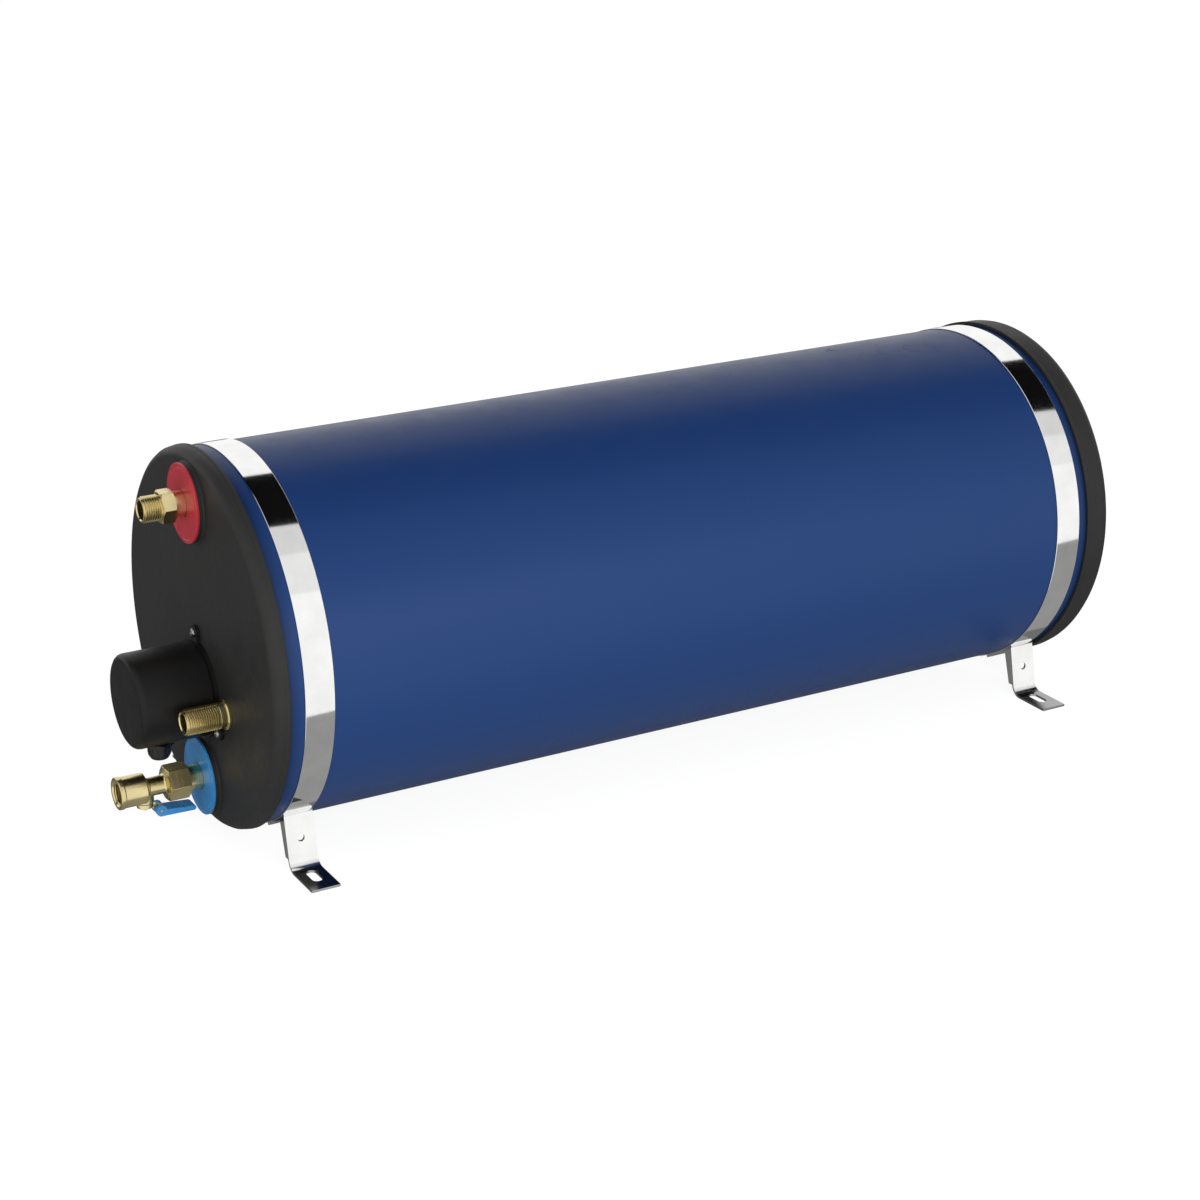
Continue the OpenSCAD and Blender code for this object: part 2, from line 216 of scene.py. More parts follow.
# %% Paint the white tent round the object
tent_steps = [
    (52, 0.003),
    (86, 0.72),
    (104, 0.86),
    (128, 1.0),
    (228, 0.30),
    (302, 0.16),
    (352, 1.0),
]
soft_light = 0.60

world = bpy.data.worlds.new("white_tent")
bpy.context.scene.world = world
world.use_nodes = True
tent = world.node_tree
tent.nodes.clear()

way = add_node(tent, "ShaderNodeTexCoord").outputs["Generated"]
about_z = {"rotation_type": "Z_AXIS"}
turned_way = add_node(tent, "ShaderNodeVectorRotate", about_z, Vector=way, Angle=-camera_turn)
aim = add_node(tent, "ShaderNodeSeparateXYZ", Vector=turned_way.outputs[0]).outputs
swing = math_node(tent, "ARCTAN2", aim["Z"], aim["Y"])
swing = math_node(tent, "ADD", math_node(tent, "DIVIDE", swing, 2 * math.pi), 1.0)
swing = math_node(tent, "FRACT", swing)
tent_ramp = add_node(tent, "ShaderNodeValToRGB", Fac=swing)
tent_ramp.color_ramp.interpolation = "CONSTANT"
tent_stops = tent_ramp.color_ramp.elements
tent_stops[0].color = (1, 1, 1, 1)
for angle, grey in tent_steps:
    tent_stops.new(angle / 360).color = (grey, grey, grey, 1)
print("steps in the tent:", len(tent_steps))

# %% Show plain white to the camera and soft light to matt surfaces
ray = add_node(tent, "ShaderNodeLightPath").outputs
mirror_ray = math_node(tent, "MAXIMUM", ray["Is Glossy Ray"], ray["Is Transmission Ray"])
matt = add_node(tent, "ShaderNodeBackground", Color=(1, 1, 1, 1), Strength=soft_light)
mirrored = add_node(tent, "ShaderNodeBackground", Color=tent_ramp.outputs["Color"], Strength=1.0)
plain = add_node(tent, "ShaderNodeBackground", Color=(1, 1, 1, 1), Strength=1.0)
not_camera = mix_shaders(tent, mirror_ray, matt, mirrored)
whole_tent = mix_shaders(tent, ray["Is Camera Ray"], not_camera, plain)
add_node(tent, "ShaderNodeOutputWorld", Surface=whole_tent.outputs[0])
print("nodes in the world:", len(tent.nodes))

# %% [markdown]
# ## The floor
#
# The heater stands on a wide pale sheet. Its colour could be pure white, but then a little
# more light would burn it out. So it is nearly white, and more than three quarters of what
# the camera sees of it is a plain white glow. The rest is real light, which keeps a trace of
# the soft shadow under the tank. Mirrors see the tent instead of the sheet.

# %% Lay the floor
floor_mesh = bmesh.new()
bmesh.ops.create_circle(floor_mesh, cap_ends=True, segments=96, radius=20.0)
floor_data = bpy.data.meshes.new("studio_floor")
floor_mesh.to_mesh(floor_data)
floor_mesh.free()
floor = bpy.data.objects.new("studio_floor", floor_data)
scene_objects.link(floor)
floor.visible_glossy = False
floor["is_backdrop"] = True
print("floor across, m:", round(floor.dimensions.x, 1))

# %% Colour the floor
pale_sheet = bpy.data.materials.new("pale_sheet")
pale_sheet.use_nodes = True
sheet = pale_sheet.node_tree
sheet.nodes.clear()
glow_share = 0.78
glow_strength = 1.15
sheet_matt = add_node(sheet, "ShaderNodeBsdfDiffuse", Color=(0.94, 0.94, 0.94, 1))
sheet_glow = add_node(sheet, "ShaderNodeEmission", Color=(1, 1, 1, 1), Strength=glow_strength)
ray = add_node(sheet, "ShaderNodeLightPath").outputs
seen = math_node(sheet, "MAXIMUM", ray["Is Camera Ray"], ray["Is Glossy Ray"])
seen = math_node(sheet, "MAXIMUM", seen, ray["Is Transmission Ray"])
share = math_node(sheet, "MULTIPLY", seen, glow_share)
sheet_both = mix_shaders(sheet, share, sheet_matt, sheet_glow)
add_node(sheet, "ShaderNodeOutputMaterial", Surface=sheet_both.outputs[0])
floor_data.materials.append(pale_sheet)
print("floor finish:", pale_sheet.name)

# %% [markdown]
# ## Two large lamps
#
# With light from everywhere the tank would look flat. A broad lamp beside the camera makes
# the side that faces us a little lighter than the top, and a weaker one in front of the
# fittings does the same for the cap. Their size keeps every shadow soft, and their power only
# tops the soft light up to the plain level.

# %% Hang the lamps
lamp_width = 3.0
lamp_height = 1.6


def hang_lamp(name, place, target, watts):
    lamp_data = bpy.data.lights.new(name, "AREA")
    lamp_data.shape = "RECTANGLE"
    lamp_data.size = lamp_width
    lamp_data.size_y = lamp_height
    lamp_data.energy = watts
    lamp = bpy.data.objects.new(name, lamp_data)
    lamp.location = place
    aim = target - place
    lamp.rotation_euler = aim.to_track_quat("-Z", "Y").to_euler()
    lamp.visible_glossy = False
    scene_objects.link(lamp)
    print(name, "is away from the tank, m:", round(aim.length, 2))


hang_lamp("side_softbox", camera.location + Vector((0.7, -0.4, -0.35)), tank_axis, 50.0)
front_target = Vector((front_face_x, 0, tank_axis.z))
hang_lamp("front_softbox", front_target + Vector((-2.4, -0.3, 0.7)), front_target, 14.0)

# %% [markdown]
# ## Effects that several finishes share
#
# No real surface is one even value. Paint varies a little in tone, moulded plastic has a fine
# grain, rolled and turned metal has lines that follow the tool, and everything that was
# handled has a few faint marks. Each of these could be drawn anew in each material. As a node
# group it is built once, with named sockets, and each finish only says how large and how
# strong it is.

# %% Slow changes in tone or gloss
FLOAT = "NodeSocketFloat"
VECTOR = "NodeSocketVector"


def start_group(name, inputs, outputs):
    group = bpy.data.node_groups.new(name, "ShaderNodeTree")
    group.interface.new_socket("Vector", in_out="INPUT", socket_type=VECTOR)
    for label, kind, value in inputs:
        group.interface.new_socket(label, in_out="INPUT", socket_type=kind).default_value = value
    for label in outputs:
        group.interface.new_socket(label, in_out="OUTPUT", socket_type=FLOAT)
    return group, add_node(group, "NodeGroupInput").outputs


def map_range(tree, value, lowest, highest, low=0.0, high=1.0):
    ends = {"From_Min": lowest, "From_Max": highest, "To_Min": low, "To_Max": high}
    return add_node(tree, "ShaderNodeMapRange", Value=value, **ends).outputs[0]


uneven, given = start_group(
    "uneven_value", [("Scale", FLOAT, 10.0), ("Low", FLOAT, 0.0), ("High", FLOAT, 1.0)], ["Value"]
)
source = {"Vector": given["Vector"], "Scale": given["Scale"]}
cloud = add_node(uneven, "ShaderNodeTexNoise", Detail=3.0, Roughness=0.55, **source).outputs[0]
value = map_range(uneven, cloud, 0.3, 0.7, given["Low"], given["High"])
add_node(uneven, "NodeGroupOutput", Value=value)
print("group:", uneven.name)

# %% The grain of a moulding tool
grain, given = start_group("moulded_grain", [("Scale", FLOAT, 900.0)], ["Height"])
source = {"Vector": given["Vector"], "Scale": given["Scale"]}
pits = add_node(grain, "ShaderNodeTexVoronoi", **source).outputs[0]
crumbs = add_node(grain, "ShaderNodeTexNoise", Detail=2.0, **source).outputs[0]
add_node(grain, "NodeGroupOutput", Height=math_node(grain, "ADD", pits, crumbs))
print("group:", grain.name)

# %% The lines of rolling, brushing and turning
lines, given = start_group(
    "tool_lines",
    [("Along", VECTOR, (1.0, 1.0, 1.0)), ("Low", FLOAT, 0.0), ("High", FLOAT, 1.0)],
    ["Height", "Value"],
)
times = {"operation": "MULTIPLY"}
drawn = add_node(lines, "ShaderNodeVectorMath", times, _0=given["Vector"], _1=given["Along"])
source = {"Vector": drawn.outputs[0], "Scale": 1.0}
streaks = add_node(lines, "ShaderNodeTexNoise", Detail=4.0, Roughness=0.6, **source).outputs[0]
value = map_range(lines, streaks, 0.3, 0.7, given["Low"], given["High"])
add_node(lines, "NodeGroupOutput", Height=streaks, Value=value)
print("group:", lines.name)

# %% Faint marks from handling
marks, given = start_group(
    "handling_marks", [("Scale", FLOAT, 40.0), ("Amount", FLOAT, 0.3)], ["Mask"]
)
source = {"Vector": given["Vector"], "Scale": given["Scale"]}
bend = add_node(marks, "ShaderNodeTexNoise", Detail=1.0, **source).outputs[0]
scrape = add_node(marks, "ShaderNodeTexWave", Distortion=28.0, Detail=3.0, **source).outputs["Fac"]
thin = map_range(marks, scrape, 0.975, 1.0)
rare = map_range(marks, bend, 0.55, 0.75)
mask = math_node(marks, "MULTIPLY", math_node(marks, "MULTIPLY", thin, rare), given["Amount"])
add_node(marks, "NodeGroupOutput", Mask=mask)
print("group:", marks.name)

# %% [markdown]
# ## Starting a finish
#
# Every finish ends in the same shader, and most need the object's coordinates, a colour that
# wanders between two tones, and a bump. A material could be built from nothing each time.
# This helper does the common part, and sets the plain values straight on the shader's own
# sockets, where any other program can read them. The smaller ones after it each add one
# effect: a value that is uneven, a wandering colour, a gloss with marks, or a bump.

# %% Helpers that start a material and give it life


def start_finish(name, **settings):
    finish = bpy.data.materials.new(name)
    finish.use_nodes = True
    tree = finish.node_tree
    tree.nodes.clear()
    shader = add_node(tree, "ShaderNodeBsdfPrincipled", **settings)
    add_node(tree, "ShaderNodeOutputMaterial", Surface=shader.outputs[0])
    place = add_node(tree, "ShaderNodeTexCoord").outputs["Object"]
    return finish, tree, shader, place


def use_group(tree, group, **values):
    return add_node(tree, "ShaderNodeGroup", {"node_tree": group}, **values).outputs


def uneven_value(tree, place, scale, low=0.0, high=1.0):
    return use_group(tree, uneven, Vector=place, Scale=scale, Low=low, High=high)["Value"]


def mixed(tree, amount, first, second):
    ends = {"_6": first, "_7": second}
    return add_node(tree, "ShaderNodeMix", {"data_type": "RGBA"}, Factor=amount, **ends).outputs[2]


def wander(tree, shader, amount, first, second):
    tree.links.new(mixed(tree, amount, first, second), shader.inputs["Base Color"])


def set_gloss(tree, shader, place, gloss, mark_scale, mark_amount):
    scuffs = use_group(tree, marks, Vector=place, Scale=mark_scale, Amount=mark_amount)["Mask"]
    tree.links.new(math_node(tree, "ADD", gloss, scuffs), shader.inputs["Roughness"])


def raise_bump(tree, shader, height, distance, strength):
    bump = add_node(tree, "ShaderNodeBump", Height=height, Distance=distance, Strength=strength)
    tree.links.new(bump.outputs[0], shader.inputs["Normal"])


print("groups that a finish can use:", [group.name for group in bpy.data.node_groups])

# %% [markdown]
# ## Darker places
#
# Some finishes get a painted shade in one place: the paint close to the caps' rims, where the caps'
# lips shadow it, and a foot's plate near the ground, as if it mirrored the tank's dark underside.
# Others get a painted shade only where a mirror sees them, because polished steel beside them would
# otherwise show too much of them. Each could be a second material, but its edge would show. A mask that
# darkens the colour a finish has already is simpler, and the masks can be added up.

# %% Helpers that darken a finish


def coordinate(tree, place, axis):
    return add_node(tree, "ShaderNodeSeparateXYZ", Vector=place).outputs[axis]


def darken(tree, shader, factor):
    colour = shader.inputs["Base Color"]
    tree.links.new(mixed(tree, factor, colour.links[0].from_socket, (0, 0, 0, 1)), colour)


def height_zone(tree, place, lowest, highest):
    height = coordinate(tree, place, "Z")
    above = math_node(tree, "GREATER_THAN", height, lowest)
    below = math_node(tree, "LESS_THAN", height, highest)
    return math_node(tree, "MULTIPLY", above, below)


# Painted shade that only mirror rays see: the colour is darkened for glossy rays.
def darken_in_mirrors(tree, shader, amount, zone=1.0):
    mirrored = add_node(tree, "ShaderNodeLightPath").outputs["Is Glossy Ray"]
    zone = math_node(tree, "MULTIPLY", mirrored, zone)
    darken(tree, shader, math_node(tree, "MULTIPLY", zone, amount))


# Painted shade beside the caps' rims, fading out over the reach.
def paint_shade_near_caps(tree, shader, place, reach, amount):
    along = coordinate(tree, place, "X")
    shades = []
    for rim in (front_rim_x, rear_rim_x):
        away = math_node(tree, "ABSOLUTE", math_node(tree, "SUBTRACT", along, rim))
        shades.append(map_range(tree, away, 0.0, reach, amount, 0.0))
    darken(tree, shader, math_node(tree, "MAXIMUM", *shades))


print("the caps' rims are at, mm:", round(front_rim_x / MM, 1), round(rear_rim_x / MM, 1))

# %% [markdown]
# ## Blue paint
#
# The jacket is sheet steel with a stoved satin enamel. Sprayed paint dries with a skin like
# the skin of an orange, only a few hundredths of a millimetre high, and it is never quite
# even in gloss. The skin could be modelled, but a faint bump is enough at that height.
#
# The upper side faces the black strip, and satin enamel mirrors it as one wide soft shade. A single
# gloss can't draw a shade that wide, so that shade is a painted reflection: the paint itself goes from
# a deep tone above to a light one at mid height. Close to the caps' rims it also darkens, a painted
# shade where the caps' lips shadow the sheet. In a mirror it is dimmed by half, a painted shade for the
# tank's shadowed underside, so the polished steel next to it shows it dark.

# %% Mix the blue paint
blue_deep = (0.0063, 0.0296, 0.123, 1)
blue_light = (0.0122, 0.0392, 0.136, 1)
deep_above = tank_axis.z + 143 * MM
light_below = tank_axis.z + 48 * MM
skin_height = 0.04 * MM
shade_reach = 12 * MM
shade_amount = 0.45
mirror_dimming = 0.5

blue_paint, tree, shader, place = start_finish("satin_blue_paint", Specular_IOR_Level=0.15)
# Painted reflection of the black strip: the blue is deeper above and lighter at mid height.
painted_strip_shade = map_range(tree, coordinate(tree, place, "Z"), deep_above, light_below)
patches = uneven_value(tree, place, scale=14.0, low=-0.06, high=0.06)
wander(tree, shader, math_node(tree, "ADD", painted_strip_shade, patches), blue_deep, blue_light)
gloss = uneven_value(tree, place, scale=35.0, low=0.30, high=0.37)
set_gloss(tree, shader, place, gloss, mark_scale=9.0, mark_amount=0.10)
skin = add_node(tree, "ShaderNodeTexNoise", Vector=place, Scale=260.0, Detail=2.0)
raise_bump(tree, shader, skin.outputs[0], skin_height, strength=0.5)
# Painted shade along the caps' rims, where their lips shadow the sheet.
paint_shade_near_caps(tree, shader, place, shade_reach, shade_amount)
# Painted shade seen only in mirrors, for the tank's shadowed underside.
darken_in_mirrors(tree, shader, mirror_dimming)
print("finish:", blue_paint.name)

# %% [markdown]
# ## Black mouldings
#
# The caps are vacuum-formed or moulded in a tough black plastic with an etched grain, so they
# look dark grey in the light. The element's cover and the cable gland are glossier, blacker
# mouldings. All three come from one function: only the tone, the gloss and the size of the
# grain differ.

# %% Mix the black plastics


def black_moulding(name, tone, gloss_ends, grain_scale, grain_height, level):
    finish, tree, shader, place = start_finish(name, Specular_IOR_Level=level)
    dark = (tone * 0.92, tone * 0.92, tone * 0.89, 1)
    pale = (tone * 1.08, tone * 1.08, tone * 1.04, 1)
    wander(tree, shader, uneven_value(tree, place, scale=18.0), dark, pale)
    low, high = gloss_ends
    gloss = uneven_value(tree, place, scale=60.0, low=low, high=high)
    set_gloss(tree, shader, place, gloss, mark_scale=13.0, mark_amount=0.05)
    height = use_group(tree, grain, Vector=place, Scale=grain_scale)["Height"]
    raise_bump(tree, shader, height, grain_height * MM, strength=0.6)
    return finish


cap_plastic = black_moulding(
    "cap_plastic", 0.0145, gloss_ends=(0.48, 0.58), grain_scale=700.0, grain_height=0.06, level=0.30
)
cover_plastic = black_moulding(
    "cover_plastic", 0.0060, gloss_ends=(0.34, 0.44), grain_scale=1400.0, grain_height=0.03, level=0.22
)
gland_plastic = black_moulding(
    "gland_plastic", 0.0070, gloss_ends=(0.30, 0.40), grain_scale=1800.0, grain_height=0.02, level=0.35
)
print("finishes:", cap_plastic.name, cover_plastic.name, gland_plastic.name)

# %% [markdown]
# ## Coloured plastics
#
# A red disc marks the hot outlet and a blue one the cold inlet, and the valve's lever is blue
# too. They are small injection mouldings of dyed plastic, with a soft gloss. Light gets a
# little way into such plastic. That could be a subsurface effect, but a slightly paler,
# uneven tone looks the same on parts this small.

# %% Mix the coloured plastics


def dyed_plastic(name, deep, light):
    finish, tree, shader, place = start_finish(name, Specular_IOR_Level=0.4)
    wander(tree, shader, uneven_value(tree, place, scale=60.0), deep, light)
    gloss = uneven_value(tree, place, scale=90.0, low=0.30, high=0.42)
    tree.links.new(gloss, shader.inputs["Roughness"])
    height = use_group(tree, grain, Vector=place, Scale=1600.0)["Height"]
    raise_bump(tree, shader, height, 0.02 * MM, strength=0.5)
    return finish


red_plastic = dyed_plastic("dyed_red", (0.35, 0.012, 0.024, 1), (0.42, 0.019, 0.034, 1))
blue_plastic = dyed_plastic("dyed_blue", (0.022, 0.18, 0.44, 1), (0.035, 0.24, 0.54, 1))
print("finishes:", red_plastic.name, blue_plastic.name)

# %% [markdown]
# ## Steel
#
# The bands are bright rolled stainless strip, close to a mirror, with the finest of lines
# along their length. The feet are pressed from the same strip and are a little duller where
# the press has rubbed them. Rivets and screws are of a plainer, greyer steel. The lines could
# be drawn with an anisotropic shader, but a stretched noise in gloss and bump gives the same
# look and also survives an export.
#
# The feet's plates get a painted shade: their steel is darker, as if they mirrored the tank's dark
# underside. A foot's bright leg would still turn the plate in front of it white, so what a mirror sees
# of the leg just above the plate is nearly black, a painted shade for the tank's shadow on the leg's
# low part.

# %% Mix the steels


def bright_metal(name, tones, gloss_ends, along, line_height, scuff):
    finish, tree, shader, place = start_finish(name, Metallic=1.0)
    low, high = gloss_ends
    streak = use_group(tree, lines, Vector=place, Along=along, Low=low, High=high)
    set_gloss(tree, shader, place, streak["Value"], mark_scale=22.0, mark_amount=scuff)
    wander(tree, shader, uneven_value(tree, place, scale=45.0), *tones)
    raise_bump(tree, shader, streak["Height"], line_height * MM, strength=0.5)
    return finish


bright = ((0.86, 0.86, 0.85, 1), (0.95, 0.95, 0.94, 1))
greyer = ((0.36, 0.36, 0.36, 1), (0.46, 0.46, 0.45, 1))
along_band = (2500.0, 12.0, 12.0)
along_foot = (1500.0, 40.0, 40.0)
every_way = (300.0, 300.0, 300.0)
band_steel = bright_metal("band_steel", bright, (0.05, 0.09), along_band, line_height=0.004, scuff=0.10)
foot_steel = bright_metal("foot_steel", bright, (0.11, 0.20), along_foot, line_height=0.008, scuff=0.15)
rivet_steel = bright_metal("plain_steel", greyer, (0.22, 0.34), every_way, line_height=0.01, scuff=0.10)
print("finishes:", band_steel.name, foot_steel.name, rivet_steel.name)

# %% Darken the feet's plates
under_floor = -1.0 * MM
plate_top = 2.6 * MM
leg_dark_from = 2.5 * MM
leg_dark_to = 26 * MM
plate_painted_shade = 0.60
leg_dimming = 0.93

tree = foot_steel.node_tree
shader = tree.nodes["Principled BSDF"]
place = tree.nodes["Texture Coordinate"].outputs["Object"]
# Painted shade: mirrors see the leg's low part nearly black, as if in the tank's shadow.
darken_in_mirrors(tree, shader, leg_dimming, height_zone(tree, place, leg_dark_from, leg_dark_to))
# Painted shade: the plates' steel is darker, as if they mirrored the tank's dark underside.
plate_zone = height_zone(tree, place, under_floor, plate_top)
darken(tree, shader, math_node(tree, "MULTIPLY", plate_zone, plate_painted_shade))
print("foot plates are darker up to, mm:", round(plate_top / MM, 1))

# %% [markdown]
# ## Brass
#
# The fittings are turned from brass bar, and the valve's body is a brass pressing that is
# then machined. Turning leaves fine rings round the axis, which here runs along X, so the
# noise is stretched round it and changes quickly along X. Brass also dulls unevenly toward
# olive, so two tones are mixed.

# %% Mix the brass
tones = ((0.64, 0.54, 0.25, 1), (0.85, 0.72, 0.40, 1))
round_axis = (2600.0, 60.0, 60.0)
brass = bright_metal("turned_brass", tones, (0.16, 0.28), round_axis, line_height=0.01, scuff=0.12)
print("finish:", brass.name)

# %% [markdown]
# ## Making pieces
#
# Nearly everything here is turned, or looks as if it were. A turned form can start from a
# ready cylinder, but then each groove and lip has to be cut in. It is easier to draw half of
# its section, as a flat face with its corners rounded, and spin that round the axis, as a
# lathe would. Each corner is a radius, a height and the radius of its rounding, in millimetres.

# %% Round an outline's corners


def outline_face(corners):
    shape = bmesh.new()
    verts = [shape.verts.new((out * MM, 0, up * MM)) for out, up, _ in corners]
    shape.faces.new(verts)
    count = len(verts)
    reaches = []
    for index in range(count):
        before = (verts[index - 1].co - verts[index].co).normalized()
        after = (verts[(index + 1) % count].co - verts[index].co).normalized()
        reaches.append(corners[index][2] * MM / math.tan(before.angle(after) / 2))
    for vert, reach in zip(verts, reaches):
        if reach > 0:
            bmesh.ops.bevel(
                shape,
                geom=[vert],
                offset=reach,
                offset_type="OFFSET",
                affect="VERTICES",
                segments=4,
                profile=0.5,
                material=-1,
            )
    return shape


def show_sample(label, shape):
    print("a sample", label, "has corners:", len(shape.verts), "and faces:", len(shape.faces))
    shape.free()


show_sample("outline", outline_face([(0, 0, 0), (10, 0, 1), (10, 4, 1), (0, 4, 0)]))

# %% A lathe: spin an outline round the axis
FINE_SIDES = 192
SIDES = 96
FULL_TURN = 2 * math.pi


def spin(shape, angle, steps, rise=0.0, close=False):
    bmesh.ops.spin(
        shape,
        geom=shape.verts[:] + shape.edges[:] + shape.faces[:],
        cent=(0, 0, 0),
        axis=(0, 0, 1),
        dvec=(0, 0, rise),
        angle=angle,
        steps=steps,
        use_merge=close,
    )
    bmesh.ops.remove_doubles(shape, verts=shape.verts[:], dist=1e-6)
    bmesh.ops.recalc_face_normals(shape, faces=shape.faces[:])


def turned(corners, sides=SIDES):
    shape = outline_face(corners)
    bmesh.ops.delete(shape, geom=shape.faces[:], context="FACES_ONLY")
    on_axis = [edge for edge in shape.edges if max(abs(v.co.x) for v in edge.verts) < 1e-7]
    bmesh.ops.delete(shape, geom=on_axis, context="EDGES")
    spin(shape, FULL_TURN, sides, close=True)
    return shape


def ring_corners(inner, outer, start, end, edges):
    ends = [(inner, start), (outer, start), (outer, end), (inner, end)]
    return [(out, up, edge) for (out, up), edge in zip(ends, edges)]


def ring(inner, outer, start, end, edges, sides=SIDES):
    return turned(ring_corners(inner, outer, start, end, edges), sides)


show_sample("ring", ring(5, 10, 0, 4, (0, 1, 1, 0)))

# %% [markdown]
# ## Setting pieces in place
#
# A piece is easiest to draw round its own axis, and then it has to go where its solid is. The
# object could be moved, but a finish that reads the object's coordinates would then differ
# from piece to piece. So the mesh itself is moved and the object stays at the origin. Smooth
# shading with sharp edges kept by angle, and normals weighted by the size of the faces, makes
# a narrow rounded edge look right between two flat sides.

# %% Place a mesh and make it an object
QUARTER = math.radians(90)
HALF = math.radians(180)
SHARP = math.radians(32)


def shift(x, y, z):
    return Matrix.Translation((x * MM, y * MM, z * MM))


def out_of_cap(y, z, out=0.0):
    place = Matrix.Translation((front_face_x - out * MM, y, z))
    return place @ Matrix.Rotation(-QUARTER, 4, "Y")


def along_tank(x):
    return Matrix.Translation((x, tank_axis.y, tank_axis.z)) @ Matrix.Rotation(QUARTER, 4, "Y")


def join_shapes(first, *others):
    for other in others:
        carried = bpy.data.meshes.new("carried")
        other.to_mesh(carried)
        other.free()
        first.from_mesh(carried)
        bpy.data.meshes.remove(carried)
    return first


def moved(shape, matrix):
    bmesh.ops.transform(shape, matrix=matrix, verts=shape.verts[:])
    return shape


def add_piece(name, shape, finish, node, body="heater"):
    data = bpy.data.meshes.new(name)
    shape.to_mesh(data)
    shape.free()
    data.polygons.foreach_set("use_smooth", [True] * len(data.polygons))
    data.set_sharp_from_angle(angle=SHARP)
    data.materials.append(finish)
    piece = bpy.data.objects.new(name, data)
    scene_objects.link(piece)
    even = piece.modifiers.new("even_normals", "WEIGHTED_NORMAL")
    even.keep_sharp = True
    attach(piece, body)
    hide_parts(node)
    triangles = sum(len(face.vertices) - 2 for face in data.polygons)
    print(name, "triangles:", triangles)


print("the cap's face is at x, mm:", round(front_face_x / MM, 1))

# %% [markdown]
# ## Starting from a solid
#
# Some pieces have the right shape already and only lack soft edges: the pressed feet, the
# plate under the cover, the lever and the small parts that carry it. Drawing them again would
# risk a difference. A copy of the solid's mesh is merged, its flat faces are cleaned, and
# every edge sharper than an angle gets a narrow rounding.

# %% Copy a solid with soft edges


def round_edges(shape, edges, radius, segments):
    bmesh.ops.bevel(
        shape,
        geom=edges,
        offset=radius * MM,
        offset_type="OFFSET",
        affect="EDGES",
        segments=segments,
        profile=0.5,
        clamp_overlap=True,
        material=-1,
    )


def softened(node, radius, segments, degrees=40):
    shape = bmesh.new()
    shape.from_mesh(nodes[node].data)
    bmesh.ops.remove_doubles(shape, verts=shape.verts[:], dist=2e-6)
    bmesh.ops.dissolve_limit(
        shape,
        angle_limit=math.radians(0.6),
        verts=shape.verts[:],
        edges=shape.edges[:],
    )
    limit = math.radians(degrees)
    sharp = [edge for edge in shape.edges if edge.is_manifold and edge.calc_face_angle(0) > limit]
    print(node, "sharp edges:", len(sharp))
    round_edges(shape, sharp, radius, segments)
    return shape


print("pressed solids to copy:", [name for name in nodes if name.endswith("foot")])

# %% [markdown]
# ## The jacket
#
# The jacket is one sheet rolled into a tube, and its ends are lapped under the tank where
# nobody looks. The tube could be closed with no seam, but a look from below would show that.
# So a narrow strip, a little thinner than the sheet, is spun through a few degrees at the
# bottom and joined on as the lap.

# %% Roll the jacket
jacket_start_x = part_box("jacket")[0].x
jacket_length = box_size("jacket").x / MM
sheet_mm = 1.5
lap_inset = 24
lap_degrees = 5

tube = ring(jacket_mm - sheet_mm, jacket_mm, 0, jacket_length, (0.2, 0.2, 0.2, 0.2), FINE_SIDES)


def arc_strip(inner, outer, start, end, degrees):
    strip = outline_face(ring_corners(inner, outer, start, end, (0, 0.4, 0.4, 0)))
    spin(strip, math.radians(degrees), max(6, degrees))
    return moved(strip, Matrix.Rotation(math.radians(-degrees / 2), 4, "Z"))


lap_end = jacket_length - lap_inset
lap = arc_strip(jacket_mm - 0.5, jacket_mm + 0.9, lap_inset, lap_end, lap_degrees)
tube = moved(join_shapes(tube, lap), along_tank(jacket_start_x))
add_piece("blue_jacket", tube, blue_paint, "jacket")

# %% [markdown]
# ## The end caps
#
# Each cap is a moulded tray that grips the jacket with a thin skirt. The front one carries
# two raised round seats, where the coloured discs lie. A cap could be a plain disc, but the
# broad rounding of its edge is what makes a grey rim round the dark face, and a thin bead
# runs along the edge of the skirt.

# %% Turn the two caps
front_depth = (front_rim_x - front_face_x) / MM
rear_depth = (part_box("rear_cap")[1].x - rear_rim_x) / MM
plate_mm = 5.0
edge_mm = 8.0


def cap_shape(depth):
    return turned(
        [
            (0, depth - plate_mm, 0),
            (jacket_mm + 0.3, depth - plate_mm, 1.5),
            (jacket_mm + 0.3, 0, 0),
            (cap_mm + 0.5, 0, 0.5),
            (cap_mm + 0.5, 2.2, 0.6),
            (cap_mm, 3.2, 0.6),
            (cap_mm, depth, edge_mm),
            (0, depth, 0),
        ],
        FINE_SIDES,
    )


disc_mm = box_size("hot_outlet_disc").y / 2 / MM
disc_thick = box_size("hot_outlet_disc").x / MM
seat_mm = from_cap("hot_outlet_disc")[0]


def seat_shape():
    return turned(
        [
            (0, -1, 0),
            (disc_mm + 1.3, -1, 0),
            (disc_mm + 1.3, 0.03, 0),
            (disc_mm, 0.03, 1.2),
            (disc_mm, seat_mm, 0.5),
            (0, seat_mm, 0),
        ]
    )


front = moved(cap_shape(front_depth), along_tank(front_rim_x) @ Matrix.Rotation(HALF, 4, "X"))
seats = [moved(seat_shape(), out_of_cap(0, z)) for z in (hot_z, cold_z)]
add_piece("front_end_cap", join_shapes(front, *seats), cap_plastic, "front_cap")
rear = moved(cap_shape(rear_depth), along_tank(rear_rim_x))
add_piece("rear_end_cap", rear, cap_plastic, "rear_cap")
print("seat height mm:", round(seat_mm, 2), "disc radius mm:", round(disc_mm, 2))

# %% [markdown]
# ## The bands
#
# A band is a hoop of bright steel strip. Its ends overlap under the tank and are spot welded.
# The hoop is turned with rounded edges, and the overlap is a short arc of strip laid on it,
# with two shallow weld marks.

# %% Roll the bands and lap their ends
strip_mm = 1.1
overlap_degrees = 12


